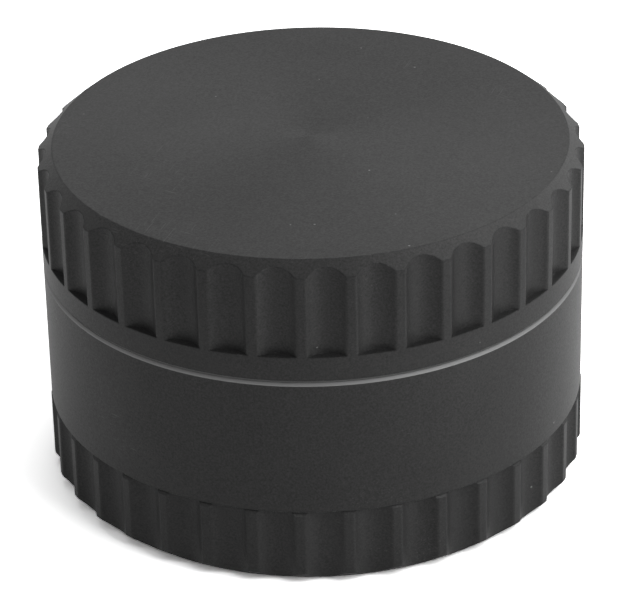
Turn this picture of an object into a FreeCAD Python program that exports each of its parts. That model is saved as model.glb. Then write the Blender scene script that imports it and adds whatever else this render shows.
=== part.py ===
import FreeCAD, Part
import math
import os

# Hand-held herb grinder, closed and standing on a table. A fluted lid turns on a plain grinding drum,
# a threaded sifter ring is hidden inside the drum's skirt, and a fluted cup is the base.
# Millimetres, +Z up, origin on the table under the middle of the base.

# Outside sizes
body_radius = 31.5
base_height = 9.6
drum_height = 16.7
lid_height = 14.3
base_proud = 0.08

# Chamfer of the lid's top edge and the base's foot
edge_chamfer_width = 1.77
edge_chamfer_height = 1.46

# Flutes of the lid and the base
flute_count = 36
flute_depth = 1.0
flute_tool_radius = 3.0
flute_edge_break = 0.12
lid_band_height = 3.0
lid_flute_angle = 2.35
base_flute_angle = 1.1

# Small edges on the outside
drum_top_chamfer = 0.25
drum_foot_break = 0.1
base_rim_chamfer = 0.3
lid_rim_break = 0.1
foot_recess_depth = 0.3
foot_recess_radius = 24.0

# Clearances
running_gap = 0.03
slip_clearance = 0.1
fit_gap = 0.05
flange_clearance = 0.3
cut_margin = 1.0
sink = 0.3

# Lid shell
lid_plate = 3.5
lid_wall = 3.1
lid_mouth_chamfer = 0.4

# Slip ring: a flat washer under the lid's rim with a sleeve round the drum's neck
slip_washer_thickness = 0.24
slip_washer_recess = 0.3
slip_sleeve_thickness = 0.6
slip_sleeve_height = 4.0

# Grinding drum
drum_wall = 3.0
neck_wall = 1.6
neck_top_gap = 1.5
neck_edge_chamfer = 0.4
drum_floor_drop = 0.5
drum_floor_thickness = 2.4

# Teeth and drop holes
tooth_half_width = 1.8
tooth_half_length = 2.3
tooth_tip_flat = 0.3
tooth_point_drop = 0.6
tooth_point_scale = 0.72
tooth_side_gap = 0.8
tooth_wall_gap = 1.1
tooth_end_gap = 0.9
tooth_spacing = 9.0
path_hole_radius = 2.2
path_hole_spacing = 7.2
between_hole_radius = 1.7

# Magnets in their bosses
boss_radius = 6.0
boss_gap = 0.6
boss_edge_chamfer = 0.4
magnet_radius = 4.0
magnet_thickness = 3.0
magnet_recess = 0.15
magnet_edge_chamfer = 0.25

# Threads of the two screwed joints
thread_starts = 4
thread_pitch = 2.0
thread_height = 0.7
thread_clearance = 0.2
thread_root_width = 1.1
thread_crest_width = 0.6
thread_end_margin = 0.75
thread_sink = 0.15

# Sifter ring
flange_thickness = 1.6
sifter_neck_length = 6.6
sifter_wall = 2.2
sifter_end_chamfer = 0.4
sifter_funnel = 1.2
sifter_tail_gap = 0.8
ledge_width = 1.6
ledge_rise = 1.0

# Seals at the sifter ring's flange
seal_section = 1.0

# Screen, its rim and the ring that keeps it in
hoop_height = 1.2
hoop_wall = 0.5
mesh_thickness = 0.3
snap_ring_thickness = 0.8
snap_ring_width = 1.2
snap_groove_depth = 0.6
snap_ring_opening = 16.0

# Base cup
base_floor = 2.4

# Heights worked out from the sizes above
drum_bottom = base_height + running_gap
drum_top = drum_bottom + drum_height
washer_bottom = drum_top + running_gap
washer_top = washer_bottom + slip_washer_thickness
lid_bottom = washer_top + running_gap
lid_top = lid_bottom + lid_height
lid_flute_floor = lid_bottom + lid_band_height
ceiling = lid_top - lid_plate
neck_top = ceiling - neck_top_gap
floor_top = drum_top - drum_floor_drop
floor_bottom = floor_top - drum_floor_thickness
boss_meeting = (floor_top + ceiling) / 2
flange_bottom = base_height - flange_thickness / 2
flange_top = flange_bottom + flange_thickness
seal_seat = seal_section + 2 * fit_gap
base_shoulder = flange_bottom - seal_seat
drum_shoulder = flange_top + seal_seat
sifter_top = flange_top + sifter_neck_length
sifter_bottom = base_floor + sifter_tail_gap
ledge_top = base_height + ledge_rise
hoop_bottom = ledge_top
hoop_top = hoop_bottom + hoop_height
snap_groove_bottom = hoop_top + fit_gap
snap_groove_top = snap_groove_bottom + snap_ring_thickness + fit_gap

# Radii worked out from the sizes above
base_radius = body_radius + base_proud
lid_bore = body_radius - lid_wall
sleeve_outer = lid_bore - slip_clearance
sleeve_inner = sleeve_outer - slip_sleeve_thickness
neck_outer = sleeve_inner - slip_clearance
chamber_radius = neck_outer - neck_wall
tooth_ring_pitch = 2 * tooth_half_width + tooth_side_gap
thread_bore = body_radius - drum_wall
male_root = thread_bore - thread_clearance - thread_height
male_crest = male_root + thread_height
female_crest = thread_bore - thread_height
seal_inner = male_crest + 2 * fit_gap
seal_ring_radius = seal_inner + seal_section / 2
counterbore = seal_inner + seal_section + 2 * fit_gap
flange_radius = counterbore - flange_clearance
sifter_bore = male_root - sifter_wall
ledge_radius = sifter_bore - ledge_width
hoop_outer = sifter_bore - fit_gap
mesh_radius = hoop_outer - hoop_wall
snap_groove_radius = sifter_bore + snap_groove_depth
snap_ring_outer = snap_groove_radius - fit_gap

# Threads share one lead, and the inner ridges run midway between the outer ones
thread_lead = thread_starts * thread_pitch
thread_step = 360.0 / thread_starts


def turned(outline, sweep=360.0):
    """Solid of revolution about Z from a closed outline of (radius, height) points."""
    points = [FreeCAD.Vector(radius, 0, height) for radius, height in outline]
    face = Part.Face(Part.makePolygon(points + points[:1]))
    return face.revolve(FreeCAD.Vector(0, 0, 0), FreeCAD.Vector(0, 0, 1), sweep)


def cylinder(radius, low, high, at=(0.0, 0.0)):
    """Upright cylinder from one height to another, with its axis at a plan position."""
    return Part.makeCylinder(radius, high - low, FreeCAD.Vector(at[0], at[1], low))


def turned_copies(shape, count, first_angle=0.0):
    """Copies of a shape spaced evenly round Z, as a list."""
    copies = []
    for index in range(count):
        copy = shape.copy()
        copy.rotate(FreeCAD.Vector(0, 0, 0), FreeCAD.Vector(0, 0, 1), first_angle + index * 360.0 / count)
        copies.append(copy)
    return copies


def one_solid(shape):
    """The single solid that a piece has to be."""
    solids = shape.removeSplitter().Solids
    if len(solids) != 1:
        raise ValueError("a piece came out as %d solids" % len(solids))
    return solids[0]


def flute_cutter(outer_radius, low, high):
    """One upright flute at angle 0: a round groove whose two outer edges are broken."""
    axis_distance = outer_radius - flute_depth + flute_tool_radius
    half_angle = math.acos((outer_radius ** 2 + axis_distance ** 2 - flute_tool_radius ** 2)
                           / (2 * outer_radius * axis_distance))
    tool_angle = math.asin(outer_radius * math.sin(half_angle) / flute_tool_radius)
    break_angle = tool_angle - flute_edge_break / flute_tool_radius
    groove_x = axis_distance - flute_tool_radius * math.cos(break_angle)
    groove_y = flute_tool_radius * math.sin(break_angle)
    land_angle = half_angle + flute_edge_break / outer_radius
    outer_x = 2 * outer_radius * math.cos(land_angle) - groove_x
    outer_y = 2 * outer_radius * math.sin(land_angle) - groove_y
    clear_x = outer_radius + cut_margin

    def point(x, y):
        return FreeCAD.Vector(x, y, low)

    groove = Part.Arc(point(groove_x, -groove_y), point(outer_radius - flute_depth, 0),
                      point(groove_x, groove_y))
    sides = Part.makePolygon([point(groove_x, groove_y), point(outer_x, outer_y), point(clear_x, outer_y),
                              point(clear_x, -outer_y), point(outer_x, -outer_y), point(groove_x, -groove_y)])
    outline = Part.Wire([groove.toShape()] + sides.Edges)
    return Part.Face(outline).extrude(FreeCAD.Vector(0, 0, high - low))


def thread_ridges(root_radius, crest_radius, low, high, first_angle):
    """The ridges of a multi-start right-hand thread, with their roots sunk into the wall."""
    into_wall = 1 if crest_radius < root_radius else -1
    sunk_radius = root_radius + into_wall * thread_sink
    section = [(sunk_radius, -thread_root_width / 2), (crest_radius, -thread_crest_width / 2),
               (crest_radius, thread_crest_width / 2), (sunk_radius, thread_root_width / 2)]
    points = [FreeCAD.Vector(radius, 0, height) for radius, height in section]
    helix = Part.Wire(Part.makeHelix(thread_lead, high - low, (sunk_radius + crest_radius) / 2))
    ridge = helix.makePipeShell([Part.makePolygon(points + points[:1])], True, True)
    ridge.translate(FreeCAD.Vector(0, 0, low))
    return turned_copies(ridge, thread_starts, first_angle + 360.0 * low / thread_lead)


def tooth_ring_radii():
    """Radii of the tooth rings from the wall inwards, as far as the middle bosses leave room."""
    radii = []
    radius = chamber_radius - tooth_wall_gap - tooth_half_width
    while radius - tooth_half_width > boss_radius + tooth_side_gap:
        radii.append(radius)
        radius -= tooth_ring_pitch
    return radii


def tooth_count(radius):
    """Even number of teeth that a ring has room for."""
    return 2 * int(2 * math.pi * radius / (2 * tooth_spacing))


def diamond_tooth(radius, root, tip):
    """One diamond-shaped tooth at angle 0, from its sunk root to its bevelled tip."""
    direction = 1 if tip > root else -1

    def section(height, scale):
        width = scale * tooth_half_width
        length = scale * tooth_half_length
        corners = [(width, 0), (tooth_tip_flat, length), (-tooth_tip_flat, length),
                   (-width, 0), (-tooth_tip_flat, -length), (tooth_tip_flat, -length)]
        points = [FreeCAD.Vector(radius + x, y, height) for x, y in corners]
        return Part.makePolygon(points + points[:1])

    sections = [section(root - direction * sink, 1.0), section(tip - direction * tooth_point_drop, 1.0),
                section(tip, tooth_point_scale)]
    return Part.makeLoft(sections, True, True)


def teeth(radii, root, tip):
    """All teeth of the given rings, with a gap between teeth at angle 0 in every ring."""
    pieces = []
    for radius in radii:
        count = tooth_count(radius)
        pieces += turned_copies(diamond_tooth(radius, root, tip), count, 180.0 / count)
    return pieces


def drop_holes(drum_radii, lid_radii):
    """Holes in the drum's floor: under the lid's teeth, and between the drum's own."""
    low = floor_bottom - cut_margin
    high = floor_top + cut_margin
    holes = []
    for radius in lid_radii:
        count = int(2 * math.pi * radius / path_hole_spacing)
        holes += turned_copies(cylinder(path_hole_radius, low, high, (radius, 0)), count)
    for radius in drum_radii:
        holes += turned_copies(cylinder(between_hole_radius, low, high, (radius, 0)), tooth_count(radius))
    return holes


def boss(root, face):
    """Middle boss that holds a magnet, from its sunk root to its bevelled face."""
    direction = 1 if face > root else -1
    return turned([(0, root - direction * sink), (boss_radius, root - direction * sink),
                   (boss_radius, face - direction * boss_edge_chamfer),
                   (boss_radius - boss_edge_chamfer, face), (0, face)])


def magnet(face, direction):
    """Disc magnet just under a boss's face; direction is the way the face looks."""
    front = face - direction * magnet_recess
    back = front - direction * magnet_thickness
    edge = magnet_radius - magnet_edge_chamfer
    return turned([(0, back), (edge, back), (magnet_radius, back + direction * magnet_edge_chamfer),
                   (magnet_radius, front - direction * magnet_edge_chamfer), (edge, front), (0, front)])


def magnet_pocket(face, direction):
    """Pocket that the magnet is pressed into."""
    back = face - direction * (magnet_recess + magnet_thickness)
    front = face + direction * cut_margin
    return cylinder(magnet_radius + fit_gap, min(back, front), max(back, front))


def make_base_cup():
    shell = turned([
        (0, foot_recess_depth), (foot_recess_radius, foot_recess_depth), (foot_recess_radius, 0),
        (base_radius - edge_chamfer_width, 0), (base_radius, edge_chamfer_height),
        (base_radius, base_height - base_rim_chamfer), (base_radius - base_rim_chamfer, base_height),
        (counterbore, base_height), (counterbore, base_shoulder), (thread_bore, base_shoulder),
        (thread_bore, base_floor), (0, base_floor)])
    cutter = flute_cutter(base_radius, -cut_margin, base_height + cut_margin)
    fluted = shell.cut(turned_copies(cutter, flute_count, base_flute_angle))
    ridges = thread_ridges(thread_bore, female_crest, base_floor + thread_end_margin,
                           base_shoulder - thread_end_margin, thread_step / 2)
    return one_solid(fluted.fuse(ridges))


def make_seal(middle_height):
    """O-ring beside the sifter ring's flange."""
    return Part.makeTorus(seal_ring_radius, seal_section / 2, FreeCAD.Vector(0, 0, middle_height))


def make_sifter_ring():
    tube = turned([
        (ledge_radius, sifter_bottom), (male_root - sifter_end_chamfer, sifter_bottom),
        (male_root, sifter_bottom + sifter_end_chamfer), (male_root, flange_bottom),
        (flange_radius, flange_bottom), (flange_radius, flange_top), (male_root, flange_top),
        (male_root, sifter_top - sifter_end_chamfer), (male_root - sifter_end_chamfer, sifter_top),
        (sifter_bore + sifter_funnel, sifter_top), (sifter_bore, sifter_top - sifter_funnel),
        (sifter_bore, snap_groove_top), (snap_groove_radius, snap_groove_top),
        (snap_groove_radius, snap_groove_bottom), (sifter_bore, snap_groove_bottom),
        (sifter_bore, ledge_top), (ledge_radius, ledge_top)])
    upper = thread_ridges(male_root, male_crest, drum_shoulder + thread_end_margin,
                          sifter_top - thread_end_margin, 0.0)
    lower = thread_ridges(male_root, male_crest, sifter_bottom + thread_end_margin,
                          base_shoulder - thread_end_margin, 0.0)
    return one_solid(tube.fuse(upper + lower))


def make_screen_hoop():
    """Rim of channel section that grips the edge of the screen."""
    slot_bottom = hoop_bottom + (hoop_height - mesh_thickness) / 2 - fit_gap / 2
    slot_top = slot_bottom + mesh_thickness + fit_gap
    return turned([
        (ledge_radius, hoop_bottom), (hoop_outer, hoop_bottom), (hoop_outer, hoop_top),
        (ledge_radius, hoop_top), (ledge_radius, slot_top), (mesh_radius + fit_gap, slot_top),
        (mesh_radius + fit_gap, slot_bottom), (ledge_radius, slot_bottom)])


def make_screen_mesh():
    low = hoop_bottom + (hoop_height - mesh_thickness) / 2
    return cylinder(mesh_radius, low, low + mesh_thickness)


def make_snap_ring():
    """Open spring ring in the groove above the screen."""
    low = snap_groove_bottom + fit_gap / 2
    high = low + snap_ring_thickness
    inner = snap_ring_outer - snap_ring_width
    ring = turned([(inner, low), (snap_ring_outer, low), (snap_ring_outer, high), (inner, high)],
                  360.0 - snap_ring_opening)
    ring.rotate(FreeCAD.Vector(0, 0, 0), FreeCAD.Vector(0, 0, 1), snap_ring_opening / 2)
    return ring


def make_grinding_drum():
    shell = turned([
        (counterbore, drum_bottom), (body_radius - drum_foot_break, drum_bottom),
        (body_radius, drum_bottom + drum_foot_break), (body_radius, drum_top - drum_top_chamfer),
        (body_radius - drum_top_chamfer, drum_top), (neck_outer, drum_top),
        (neck_outer, neck_top - neck_edge_chamfer), (neck_outer - neck_edge_chamfer, neck_top),
        (chamber_radius + neck_edge_chamfer, neck_top), (chamber_radius, neck_top - neck_edge_chamfer),
        (chamber_radius, floor_top), (0, floor_top), (0, floor_bottom), (thread_bore, floor_bottom),
        (thread_bore, drum_shoulder), (counterbore, drum_shoulder)])
    radii = tooth_ring_radii()
    drum_radii = radii[0::2]
    lid_radii = radii[1::2]
    boss_face = boss_meeting - boss_gap / 2
    ridges = thread_ridges(thread_bore, female_crest, drum_shoulder + thread_end_margin,
                           sifter_top - thread_end_margin, thread_step / 2)
    toothed = shell.fuse(teeth(drum_radii, floor_top, ceiling - tooth_end_gap) + [boss(floor_top, boss_face)])
    pierced = toothed.cut(drop_holes(drum_radii, lid_radii) + [magnet_pocket(boss_face, 1)])
    return one_solid(pierced.fuse(ridges))


def make_drum_magnet():
    return magnet(boss_meeting - boss_gap / 2, 1)


def make_slip_ring():
    return turned([
        (sleeve_inner, washer_bottom), (body_radius - slip_washer_recess, washer_bottom),
        (body_radius - slip_washer_recess, washer_top), (sleeve_outer, washer_top),
        (sleeve_outer, washer_top + slip_sleeve_height), (sleeve_inner, washer_top + slip_sleeve_height)])


def make_lid():
    shell = turned([
        (0, lid_top), (body_radius - edge_chamfer_width, lid_top),
        (body_radius, lid_top - edge_chamfer_height), (body_radius, lid_bottom + lid_rim_break),
        (body_radius - lid_rim_break, lid_bottom),
        (lid_bore + lid_mouth_chamfer, lid_bottom), (lid_bore, lid_bottom + lid_mouth_chamfer),
        (lid_bore, ceiling), (0, ceiling)])
    cutter = flute_cutter(body_radius, lid_flute_floor, lid_top + cut_margin)
    fluted = shell.cut(turned_copies(cutter, flute_count, lid_flute_angle))
    boss_face = boss_meeting + boss_gap / 2
    lid_radii = tooth_ring_radii()[1::2]
    toothed = fluted.fuse(teeth(lid_radii, ceiling, floor_top + tooth_end_gap) + [boss(ceiling, boss_face)])
    return one_solid(toothed.cut(magnet_pocket(boss_face, -1)))


def make_lid_magnet():
    return magnet(boss_meeting + boss_gap / 2, -1)


pieces = {
    "base_cup": make_base_cup(),
    "lower_seal": make_seal((base_shoulder + flange_bottom) / 2),
    "sifter_ring": make_sifter_ring(),
    "screen_hoop": make_screen_hoop(),
    "screen_mesh": make_screen_mesh(),
    "snap_ring": make_snap_ring(),
    "upper_seal": make_seal((flange_top + drum_shoulder) / 2),
    "grinding_drum": make_grinding_drum(),
    "drum_magnet": make_drum_magnet(),
    "slip_ring": make_slip_ring(),
    "lid": make_lid(),
    "lid_magnet": make_lid_magnet(),
}

os.makedirs("parts", exist_ok=True)
for name, shape in pieces.items():
    shape.exportStep("parts/" + name + ".step")
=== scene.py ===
import math

import bpy
from mathutils import Matrix, Vector


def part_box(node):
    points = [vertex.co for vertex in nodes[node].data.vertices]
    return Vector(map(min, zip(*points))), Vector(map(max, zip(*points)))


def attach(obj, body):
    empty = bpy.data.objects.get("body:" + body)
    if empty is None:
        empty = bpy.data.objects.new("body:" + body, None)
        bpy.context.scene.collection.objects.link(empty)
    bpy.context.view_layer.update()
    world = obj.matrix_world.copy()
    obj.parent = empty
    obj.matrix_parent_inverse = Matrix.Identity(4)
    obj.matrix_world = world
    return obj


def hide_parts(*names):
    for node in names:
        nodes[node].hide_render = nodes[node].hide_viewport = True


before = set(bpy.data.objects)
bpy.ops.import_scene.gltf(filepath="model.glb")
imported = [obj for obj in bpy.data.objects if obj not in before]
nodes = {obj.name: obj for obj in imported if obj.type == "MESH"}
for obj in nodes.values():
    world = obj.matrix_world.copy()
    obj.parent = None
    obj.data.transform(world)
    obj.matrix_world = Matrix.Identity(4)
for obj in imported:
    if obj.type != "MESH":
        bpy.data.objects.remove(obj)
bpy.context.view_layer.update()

# Hand-held herb grinder in dark anodised aluminium, standing closed on a white table.
# Metres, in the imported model's own frame: +Z up, origin on the table under the base.

millimetre = 0.001

# Camera
camera_distance = 361.85 * millimetre
camera_height = 221.17 * millimetre
camera_tilt = math.radians(29.20)
camera_pan = math.radians(0.033)
camera_roll = math.radians(-1.34)
camera_lens = 200.0
camera_sensor = 36.0
camera_near = 10.0 * millimetre

# Light: a large lamp high behind, a key lamp in front on the right, and two lamps on the right that only
# add gloss, a large one above for the lid's chamfer and a low one for the walls
surround_level = 0.38
back_place = (0.3, 0.4, 1.0)
back_target = (0.0, 0.0, 0.02)
back_size = 1.2
back_power = 4.9
key_place = (0.2, -0.16, 0.22)
key_target = (0.05, -0.04, 0.0)
key_size = 0.18
key_power = 0.47
rim_place = (0.27, 0.12, 0.23)
rim_target = (0.0, 0.0, 0.03)
rim_size = 0.4
rim_power = 0.85
side_place = (0.28, -0.2, 0.06)
side_target = (0.0, 0.0, 0.02)
side_size = 0.2
side_power = 0.63

# White table: its level where it lights other things, where it is mirrored, and in the picture itself
table_half_size = 3.0
table_white = 0.9
table_mirrored_white = 1.5
table_picture_white = 2.8
paper_scale = 400.0
paper_range = (0.98, 1.0)

# Anodised aluminium: grey of its dye, and roughness of the grain's crests and hollows and of sharp edges
anodise_dark = 0.0105
anodise_light = 0.032
anodise_tone = (0.35, 0.9)
anodise_crest = 0.43
anodise_hollow = 0.53
anodise_edge = 0.8
anodise_metal = 0.2
anodise_ior = 1.285
anodise_turned = 0.4
anodise_drift = 0.25
across_the_rings = 0.25

# Blasted grain, with a drift in tone that is this many times broader
grain_size = 0.24 * millimetre
grain_depth = 0.003 * millimetre
grain_range = (0.2, 0.8)
drift_breadth = 40.0

# Rings left by the lathe
lid_ring_pitch = 0.18 * millimetre
lid_ring_depth = 0.0012 * millimetre
shell_ring_pitch = 0.22 * millimetre
shell_ring_depth = 0.0008 * millimetre

# Rubbed edges, in patches: rub_turn is the cosine of a softened edge's turn from the true face, where the
# rub starts and where it is full
rub_width = 0.25 * millimetre
rub_share = 0.3
rub_turn = (0.985, 0.90)
rub_patch_scale = 900.0
rub_patch_range = (0.60, 0.70)
bare_grey = 0.19

# Hairline scuffs, in patches
scuff_directions = (math.radians(-35), math.radians(70))
scuff_width = 0.2 * millimetre
scuff_stretch = 20.0
scuff_line_range = (0.66, 0.80)
scuff_patch_scale = 90.0
scuff_patch_range = (0.58, 0.66)
scuff_grey = 0.05

# Dust specks, in a share of the cells of a loose grid
speck_spacing = 3.0 * millimetre
speck_radius = 0.13 * millimetre
lid_speck_share = 0.6
shell_speck_share = 0.25
dust_grey = 0.16

# Black rubber
rubber_dark = 0.012
rubber_light = 0.03
rubber_roughness = (0.5, 0.65)
rubber_grain_size = 0.3 * millimetre
rubber_grain_depth = 0.004 * millimetre

# Dark polymer
polymer_dark = 0.05
polymer_light = 0.075
polymer_roughness = (0.4, 0.55)
polymer_grain_size = 0.4 * millimetre
polymer_ring_pitch = 0.25 * millimetre
polymer_ring_depth = 0.004 * millimetre

# Stainless steel
steel_dark = (0.46, 0.46, 0.45, 1.0)
steel_light = (0.58, 0.58, 0.57, 1.0)
steel_roughness = (0.22, 0.36)
steel_grain_size = 0.5 * millimetre
steel_line_depth = 0.003 * millimetre
hoop_line_pitch = 0.15 * millimetre
spring_line_pitch = 0.1 * millimetre
wire_dark = (0.36, 0.36, 0.35, 1.0)
wire_light = (0.56, 0.56, 0.54, 1.0)
wire_roughness = (0.26, 0.4)
wire_grain_size = 0.4 * millimetre

# Nickel plating
nickel_dark = (0.58, 0.57, 0.54, 1.0)
nickel_light = (0.70, 0.69, 0.66, 1.0)
nickel_worn = (0.30, 0.29, 0.28, 1.0)
nickel_roughness = (0.14, 0.26)
nickel_rub_share = 0.4
nickel_grain_size = 0.6 * millimetre
nickel_grain_depth = 0.002 * millimetre

# Drum's upper edge, where bare metal shows on the chamfer and just past it
bare_reach = 0.33 * millimetre
bare_roughness = 0.75
seam_gap = 0.03 * millimetre

# Woven screen
weave_pitch = 0.64 * millimetre
weave_wire_radius = 0.1 * millimetre
weave_crimp = 0.105 * millimetre
weave_wire_sides = 5


# Node helpers

def add_node(tree, kind, sockets=None, **settings):
    """One shader node, with its settings made and its inputs set or linked."""
    made = tree.nodes.new("ShaderNode" + kind)
    for name, value in settings.items():
        setattr(made, name, value)
    for name, value in (sockets or {}).items():
        set_socket(tree, made.inputs[name], value)
    return made


def set_socket(tree, socket, value):
    """Links a socket if the value is one, and otherwise sets it."""
    if isinstance(value, bpy.types.NodeSocket):
        tree.links.new(value, socket)
    else:
        socket.default_value = value


def calculate(tree, operation, first, second=0.0, clamp=False):
    """Output of a maths node on two values or sockets."""
    made = add_node(tree, "Math", {0: first, 1: second}, operation=operation, use_clamp=clamp)
    return made.outputs[0]


def remap(tree, value, from_low, from_high, to_low=0.0, to_high=1.0):
    """Output of a clamped map range node."""
    sockets = {"Value": value, "From Min": from_low, "From Max": from_high}
    sockets.update({"To Min": to_low, "To Max": to_high})
    return add_node(tree, "MapRange", sockets).outputs["Result"]


def blend_colours(tree, share, first, second):
    """Output of a colour mix node."""
    made = add_node(tree, "Mix", data_type="RGBA")
    inputs = {socket.identifier: socket for socket in made.inputs}
    outputs = {socket.identifier: socket for socket in made.outputs}
    set_socket(tree, inputs["Factor_Float"], share)
    set_socket(tree, inputs["A_Color"], first)
    set_socket(tree, inputs["B_Color"], second)
    return outputs["Result_Color"]


def grey(level):
    return (level, level, level, 1.0)


def new_group(name, inputs, outputs):
    """Empty shader group with named float inputs, each with its usual value, and named outputs."""
    group = bpy.data.node_groups.new(name, "ShaderNodeTree")
    for label, value in inputs.items():
        socket = group.interface.new_socket(name=label, in_out="INPUT", socket_type="NodeSocketFloat")
        socket.default_value = value
    for label, kind in outputs.items():
        group.interface.new_socket(name=label, in_out="OUTPUT", socket_type="NodeSocket" + kind)
    source = group.nodes.new("NodeGroupInput")
    target = group.nodes.new("NodeGroupOutput")
    return group, source.outputs, target.inputs


def place_group(tree, group, **values):
    """A group placed in a material, with its own values; words in a name are joined by underscores."""
    made = tree.nodes.new("ShaderNodeGroup")
    made.node_tree = group
    for name, value in values.items():
        set_socket(tree, made.inputs[name.replace("_", " ")], value)
    return made.outputs


# Shared surface effects

def make_lathe_place():
    """Distance from the turning axis, and height, of a place on the surface."""
    group, _, out = new_group("lathe place", {}, {"Radius": "Float", "Height": "Float"})
    place = add_node(group, "TexCoord").outputs["Object"]
    parts = add_node(group, "SeparateXYZ", {0: place}).outputs
    flat = add_node(group, "CombineXYZ", {"X": parts["X"], "Y": parts["Y"]}).outputs[0]
    radius = add_node(group, "VectorMath", {0: flat}, operation="LENGTH").outputs["Value"]
    group.links.new(radius, out["Radius"])
    group.links.new(parts["Z"], out["Height"])
    return group


def make_turning_marks(lathe_place):
    """Fine rings left by a lathe tool: they follow the radius on flat faces and the height on walls."""
    group, given, out = new_group("turning marks", {"Pitch": shell_ring_pitch}, {"Height": "Float"})
    place = place_group(group, lathe_place)
    travel = calculate(group, "ADD", place["Radius"], place["Height"])
    along = calculate(group, "DIVIDE", travel, given["Pitch"])
    sockets = {"W": along, "Scale": 1.0, "Detail": 2.0, "Roughness": 0.6}
    rings = add_node(group, "TexNoise", sockets, noise_dimensions="1D")
    group.links.new(rings.outputs["Fac"], out["Height"])
    return group


def make_blast_grain():
    """Even fine grain of a blasted surface, with a slow drift in tone."""
    outputs = {"Height": "Float", "Drift": "Float"}
    group, given, out = new_group("blast grain", {"Size": grain_size}, outputs)
    place = add_node(group, "TexCoord").outputs["Object"]
    scale = calculate(group, "DIVIDE", 1.0, given["Size"])
    fine = add_node(group, "TexNoise", {"Vector": place, "Scale": scale, "Detail": 2.0, "Roughness": 0.7})
    broad = calculate(group, "DIVIDE", scale, drift_breadth)
    slow = add_node(group, "TexNoise", {"Vector": place, "Scale": broad, "Detail": 2.0})
    group.links.new(fine.outputs["Fac"], out["Height"])
    group.links.new(slow.outputs["Fac"], out["Drift"])
    return group


def make_edge_rub():
    """Masks of sharp edges and of patches on them that rub thin, and a normal that softens the edges."""
    outputs = {"Edge": "Float", "Mask": "Float", "Normal": "Vector"}
    group, given, out = new_group("edge rub", {"Width": rub_width}, outputs)
    soft = add_node(group, "Bevel", {"Radius": given["Width"]}, samples=4).outputs[0]
    true = add_node(group, "NewGeometry").outputs["Normal"]
    agree = add_node(group, "VectorMath", {0: soft, 1: true}, operation="DOT_PRODUCT").outputs["Value"]
    edge = remap(group, agree, *rub_turn)
    place = add_node(group, "TexCoord").outputs["Object"]
    sockets = {"Vector": place, "Scale": rub_patch_scale, "Detail": 3.0}
    patches = remap(group, add_node(group, "TexNoise", sockets).outputs["Fac"], *rub_patch_range)
    broken = calculate(group, "MULTIPLY", edge, patches)
    group.links.new(edge, out["Edge"])
    group.links.new(broken, out["Mask"])
    group.links.new(soft, out["Normal"])
    return group


def make_dust_specks():
    """Mask of a few tiny specks of dust, each with its own strength."""
    inputs = {"Spacing": speck_spacing, "Speck": speck_radius, "Share": shell_speck_share}
    group, given, out = new_group("dust specks", inputs, {"Mask": "Float"})
    place = add_node(group, "TexCoord").outputs["Object"]
    scale = calculate(group, "DIVIDE", 1.0, given["Spacing"])
    cells = add_node(group, "TexVoronoi", {"Vector": place, "Scale": scale})
    reach = calculate(group, "DIVIDE", given["Speck"], given["Spacing"])
    near = calculate(group, "LESS_THAN", cells.outputs["Distance"], reach)
    chance = add_node(group, "SeparateColor", {0: cells.outputs["Color"]}).outputs
    there = calculate(group, "LESS_THAN", chance[0], given["Share"])
    strength = calculate(group, "MULTIPLY", there, chance[1])
    group.links.new(calculate(group, "MULTIPLY", near, strength), out["Mask"])
    return group


def make_fine_scuffs():
    """Mask of hairline scuffs that run two ways, in a few patches only."""
    group, given, out = new_group("fine scuffs", {"Width": scuff_width}, {"Mask": "Float"})
    place = add_node(group, "TexCoord").outputs["Object"]
    fine = calculate(group, "DIVIDE", 1.0, given["Width"])
    streaks = []
    for turn in scuff_directions:
        sockets = {"Vector": place, "Rotation": (0, 0, turn), "Scale": (scuff_stretch, 1, 1)}
        line = add_node(group, "Mapping", sockets, vector_type="TEXTURE").outputs[0]
        noise = add_node(group, "TexNoise", {"Vector": line, "Scale": fine, "Detail": 1.0}).outputs["Fac"]
        streaks.append(remap(group, noise, *scuff_line_range))
    sockets = {"Vector": place, "Scale": scuff_patch_scale, "Detail": 1.0}
    patches = remap(group, add_node(group, "TexNoise", sockets).outputs["Fac"], *scuff_patch_range)
    marks = calculate(group, "MAXIMUM", *streaks)
    group.links.new(calculate(group, "MULTIPLY", marks, patches), out["Mask"])
    return group


lathe_place = make_lathe_place()
turning_marks = make_turning_marks(lathe_place)
blast_grain = make_blast_grain()
edge_rub = make_edge_rub()
dust_specks = make_dust_specks()
fine_scuffs = make_fine_scuffs()


# Materials

def new_material(name):
    """Material with an empty tree; returns it with its tree and a Principled shader already joined up."""
    material = bpy.data.materials.new(name)
    material.use_nodes = True
    tree = material.node_tree
    tree.nodes.clear()
    shader = tree.nodes.new("ShaderNodeBsdfPrincipled")
    output = tree.nodes.new("ShaderNodeOutputMaterial")
    tree.links.new(shader.outputs["BSDF"], output.inputs["Surface"])
    return material, tree, shader


def bump(tree, height, depth, below=None):
    """Normal from a height in 0 to 1, that deep in metres, laid over another normal if one is given."""
    sockets = {"Height": height, "Distance": depth, "Strength": 1.0}
    if below is not None:
        sockets["Normal"] = below
    return add_node(tree, "Bump", sockets).outputs["Normal"]


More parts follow.
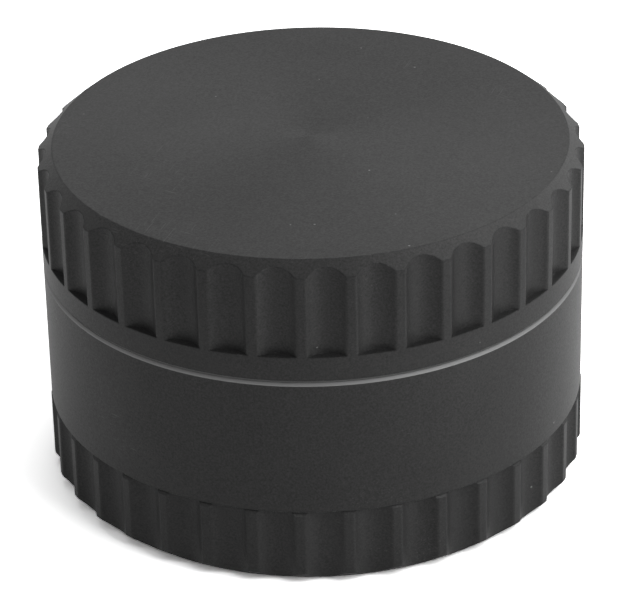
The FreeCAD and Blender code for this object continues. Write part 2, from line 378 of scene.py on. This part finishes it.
def dark_anodise(name, ring_pitch, ring_depth, speck_share, bare_band=None):
    """Satin dark grey anodised aluminium, turned and blasted; bare_band makes a mask of bare metal."""
    material, tree, shader = new_material(name)
    rings = place_group(tree, turning_marks, Pitch=ring_pitch)["Height"]
    grain = place_group(tree, blast_grain)
    rub = place_group(tree, edge_rub)
    dust = place_group(tree, dust_specks, Share=speck_share)["Mask"]
    scuffs = place_group(tree, fine_scuffs)["Mask"]
    drift = calculate(tree, "MULTIPLY", grain["Drift"], anodise_drift)
    tone = calculate(tree, "ADD", grain["Height"], drift)
    dye = blend_colours(tree, remap(tree, tone, *anodise_tone), grey(anodise_dark), grey(anodise_light))
    colour = blend_colours(tree, scuffs, dye, grey(scuff_grey))
    worn = calculate(tree, "MULTIPLY", rub["Mask"], rub_share)
    colour = blend_colours(tree, worn, colour, grey(bare_grey))
    roughness = remap(tree, grain["Height"], *grain_range, anodise_hollow, anodise_crest)
    roughness = remap(tree, rub["Edge"], 0.0, 1.0, roughness, anodise_edge)
    metal = anodise_metal
    if bare_band is not None:
        band = bare_band(tree)
        colour = blend_colours(tree, band, colour, grey(bare_grey))
        metal = remap(tree, band, 0.0, 1.0, anodise_metal, 1.0)
        roughness = remap(tree, band, 0.0, 1.0, roughness, bare_roughness)
    colour = blend_colours(tree, dust, colour, grey(dust_grey))
    set_socket(tree, shader.inputs["Base Color"], colour)
    set_socket(tree, shader.inputs["Metallic"], metal)
    set_socket(tree, shader.inputs["Roughness"], roughness)
    shader.inputs["IOR"].default_value = anodise_ior
    shader.inputs["Anisotropic"].default_value = anodise_turned
    shader.inputs["Anisotropic Rotation"].default_value = across_the_rings
    round_axis = add_node(tree, "Tangent", direction_type="RADIAL", axis="Z").outputs[0]
    set_socket(tree, shader.inputs["Tangent"], round_axis)
    blasted = bump(tree, grain["Height"], grain_depth, rub["Normal"])
    set_socket(tree, shader.inputs["Normal"], bump(tree, rings, ring_depth, blasted))
    return material


def bare_drum_edge(tree):
    """Mask of the drum's upper outer edge, which is chamfered after anodising."""
    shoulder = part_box("slip_ring")[0].z - seam_gap
    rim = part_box("grinding_drum")[1].x
    place = place_group(tree, lathe_place)
    high = calculate(tree, "GREATER_THAN", place["Height"], shoulder - bare_reach)
    wide = calculate(tree, "GREATER_THAN", place["Radius"], rim - bare_reach)
    return calculate(tree, "MULTIPLY", high, wide)


def seal_rubber():
    """Soft black rubber with a faint bloom."""
    material, tree, shader = new_material("seal rubber")
    grain = place_group(tree, blast_grain, Size=rubber_grain_size)
    colour = blend_colours(tree, grain["Drift"], grey(rubber_dark), grey(rubber_light))
    roughness = remap(tree, grain["Height"], *grain_range, *rubber_roughness)
    set_socket(tree, shader.inputs["Base Color"], colour)
    set_socket(tree, shader.inputs["Roughness"], roughness)
    set_socket(tree, shader.inputs["Normal"], bump(tree, grain["Height"], rubber_grain_depth))
    return material


def slip_polymer():
    """Dark grey low-friction polymer with the rings of its turning."""
    material, tree, shader = new_material("slip polymer")
    rings = place_group(tree, turning_marks, Pitch=polymer_ring_pitch)["Height"]
    grain = place_group(tree, blast_grain, Size=polymer_grain_size)
    colour = blend_colours(tree, grain["Drift"], grey(polymer_dark), grey(polymer_light))
    roughness = remap(tree, grain["Height"], *grain_range, *polymer_roughness)
    set_socket(tree, shader.inputs["Base Color"], colour)
    set_socket(tree, shader.inputs["Roughness"], roughness)
    set_socket(tree, shader.inputs["Normal"], bump(tree, rings, polymer_ring_depth))
    return material


def bright_steel(name, line_pitch):
    """Stainless steel with fine turned or drawn lines."""
    material, tree, shader = new_material(name)
    lines = place_group(tree, turning_marks, Pitch=line_pitch)["Height"]
    grain = place_group(tree, blast_grain, Size=steel_grain_size)
    colour = blend_colours(tree, grain["Drift"], steel_dark, steel_light)
    roughness = remap(tree, lines, *grain_range, *steel_roughness)
    set_socket(tree, shader.inputs["Base Color"], colour)
    set_socket(tree, shader.inputs["Roughness"], roughness)
    shader.inputs["Metallic"].default_value = 1.0
    set_socket(tree, shader.inputs["Normal"], bump(tree, lines, steel_line_depth))
    return material


def screen_wire():
    """Fine drawn stainless wire, a little uneven in tone."""
    material, tree, shader = new_material("screen wire")
    grain = place_group(tree, blast_grain, Size=wire_grain_size)
    colour = blend_colours(tree, grain["Height"], wire_dark, wire_light)
    roughness = remap(tree, grain["Height"], *grain_range, *wire_roughness)
    set_socket(tree, shader.inputs["Base Color"], colour)
    set_socket(tree, shader.inputs["Roughness"], roughness)
    shader.inputs["Metallic"].default_value = 1.0
    return material


def magnet_plating():
    """Bright nickel plating, a little cloudy, and duller at its edges."""
    material, tree, shader = new_material("magnet plating")
    grain = place_group(tree, blast_grain, Size=nickel_grain_size)
    rub = place_group(tree, edge_rub)
    cloud = blend_colours(tree, grain["Drift"], nickel_dark, nickel_light)
    worn = calculate(tree, "MULTIPLY", rub["Mask"], nickel_rub_share)
    colour = blend_colours(tree, worn, cloud, nickel_worn)
    roughness = remap(tree, grain["Height"], *grain_range, *nickel_roughness)
    set_socket(tree, shader.inputs["Base Color"], colour)
    set_socket(tree, shader.inputs["Roughness"], roughness)
    shader.inputs["Metallic"].default_value = 1.0
    cloudy = bump(tree, grain["Height"], nickel_grain_depth, rub["Normal"])
    set_socket(tree, shader.inputs["Normal"], cloudy)
    return material


def give_material(thing, material):
    thing.data.materials.clear()
    thing.data.materials.append(material)


# Pieces made here

def woven_wire(points, faces, radius, middle, index, lengthwise):
    """One wire of the screen, waving over and under the wires that cross it."""
    offset = index * weave_pitch
    half = math.sqrt(radius ** 2 - offset ** 2)
    reach = math.ceil(2 * half / weave_pitch) - 1
    stations = [step * weave_pitch / 2 for step in range(-reach, reach + 1)]
    side = 1 if (index + lengthwise) % 2 else -1
    sides = weave_wire_sides
    first = len(points)
    for along in [-half] + stations + [half]:
        wave = side * weave_crimp * math.cos(math.pi * along / weave_pitch)
        for corner in range(sides):
            angle = 2 * math.pi * corner / sides
            across = offset + weave_wire_radius * math.cos(angle)
            height = middle + wave + weave_wire_radius * math.sin(angle)
            points.append((across, along, height) if lengthwise else (along, across, height))
    last = len(points) - sides
    wire_faces = []
    for here in range(first, last, sides):
        following = here + sides
        for corner in range(sides):
            beside = (corner + 1) % sides
            wire_faces.append((here + corner, here + beside, following + beside, following + corner))
    wire_faces.append(tuple(range(first, first + sides))[::-1])
    wire_faces.append(tuple(range(last, last + sides)))
    faces.extend(face[::-1] if lengthwise else face for face in wire_faces)


def woven_screen(material):
    """Plain-weave wire screen in place of the plain disc."""
    low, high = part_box("screen_mesh")
    radius = (high.x - low.x) / 2 - weave_wire_radius
    middle = (low.z + high.z) / 2
    reach = int(radius / weave_pitch)
    points = []
    faces = []
    for lengthwise in (False, True):
        for index in range(-reach, reach + 1):
            woven_wire(points, faces, radius, middle, index, lengthwise)
    mesh = bpy.data.meshes.new("woven_screen")
    mesh.from_pydata(points, [], faces)
    mesh.validate()
    mesh.shade_smooth()
    screen = bpy.data.objects.new("woven_screen", mesh)
    bpy.context.scene.collection.objects.link(screen)
    give_material(screen, material)
    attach(screen, "sifter")
    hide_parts("screen_mesh")


# Stage

def seen_directly(tree):
    """1 for what is seen, also in metal or through glass, and 0 for light that falls on a surface."""
    path = add_node(tree, "LightPath").outputs
    seen = calculate(tree, "ADD", path["Is Camera Ray"], path["Is Glossy Ray"])
    return calculate(tree, "ADD", seen, path["Is Transmission Ray"], clamp=True)


def white_table():
    """Large white table top with the object's shadow on it."""
    half = table_half_size
    corners = [(-half, -half, 0), (half, -half, 0), (half, half, 0), (-half, half, 0)]
    mesh = bpy.data.meshes.new("table")
    mesh.from_pydata(corners, [], [(0, 1, 2, 3)])
    table = bpy.data.objects.new("table", mesh)
    bpy.context.scene.collection.objects.link(table)
    material = bpy.data.materials.new("white table")
    material.use_nodes = True
    tree = material.node_tree
    tree.nodes.clear()
    in_picture = add_node(tree, "LightPath").outputs["Is Camera Ray"]
    seen_level = remap(tree, in_picture, 0.0, 1.0, table_mirrored_white, table_picture_white)
    level = remap(tree, seen_directly(tree), 0.0, 1.0, table_white, seen_level)
    paper = add_node(tree, "TexNoise", {"Scale": paper_scale, "Detail": 2.0}).outputs["Fac"]
    level = calculate(tree, "MULTIPLY", level, remap(tree, paper, 0.0, 1.0, *paper_range))
    matt = add_node(tree, "BsdfDiffuse", {"Color": level}).outputs[0]
    add_node(tree, "OutputMaterial", {"Surface": matt})
    give_material(table, material)


def soft_lamp(name, place, target, size, power, gloss_only=False):
    """Square soft box that looks at a point; a gloss-only one lights no matt surface."""
    lamp = bpy.data.lights.new(name, "AREA")
    lamp.size = size
    lamp.energy = power
    holder = bpy.data.objects.new(name, lamp)
    holder.location = place
    holder.rotation_euler = (Vector(target) - Vector(place)).to_track_quat("-Z", "Y").to_euler()
    holder.visible_diffuse = not gloss_only
    bpy.context.scene.collection.objects.link(holder)


def white_surround():
    """White all round for the camera and for reflections, and a plain level for diffuse light."""
    world = bpy.data.worlds.new("surround")
    world.use_nodes = True
    tree = world.node_tree
    tree.nodes.clear()
    level = remap(tree, seen_directly(tree), 0.0, 1.0, surround_level, 1.0)
    light = add_node(tree, "Background", {"Color": grey(1.0), "Strength": level})
    output = tree.nodes.new("ShaderNodeOutputWorld")
    tree.links.new(light.outputs[0], output.inputs["Surface"])
    bpy.context.scene.world = world


def photo_camera():
    """Camera where the picture was taken from, looking along +Y and down."""
    camera = bpy.data.cameras.new("camera")
    camera.sensor_fit = "HORIZONTAL"
    camera.sensor_width = camera_sensor
    camera.lens = camera_lens
    camera.clip_start = camera_near
    holder = bpy.data.objects.new("camera", camera)
    turn = Matrix.Rotation(-camera_pan, 4, "Z") @ Matrix.Rotation(math.pi / 2 - camera_tilt, 4, "X")
    turn = turn @ Matrix.Rotation(camera_roll, 4, "Z")
    holder.matrix_world = Matrix.Translation((0, -camera_distance, camera_height)) @ turn
    bpy.context.scene.collection.objects.link(holder)
    bpy.context.scene.camera = holder


# The object's finishes

lid_surface = (lid_ring_pitch, lid_ring_depth, lid_speck_share)
shell_surface = (shell_ring_pitch, shell_ring_depth, shell_speck_share)
give_material(nodes["lid"], dark_anodise("lid anodise", *lid_surface))
give_material(nodes["grinding_drum"], dark_anodise("drum anodise", *shell_surface, bare_drum_edge))
give_material(nodes["base_cup"], dark_anodise("base anodise", *shell_surface))
give_material(nodes["sifter_ring"], dark_anodise("sifter anodise", *shell_surface))
rubber = seal_rubber()
give_material(nodes["lower_seal"], rubber)
give_material(nodes["upper_seal"], rubber)
give_material(nodes["slip_ring"], slip_polymer())
give_material(nodes["screen_hoop"], bright_steel("hoop steel", hoop_line_pitch))
give_material(nodes["snap_ring"], bright_steel("spring steel", spring_line_pitch))
plating = magnet_plating()
give_material(nodes["drum_magnet"], plating)
give_material(nodes["lid_magnet"], plating)
woven_screen(screen_wire())

# The table, light and camera

white_table()
white_surround()
soft_lamp("back", back_place, back_target, back_size, back_power)
soft_lamp("key", key_place, key_target, key_size, key_power)
soft_lamp("rim", rim_place, rim_target, rim_size, rim_power, gloss_only=True)
soft_lamp("side", side_place, side_target, side_size, side_power, gloss_only=True)
photo_camera()
bpy.context.scene.view_settings.view_transform = "Standard"
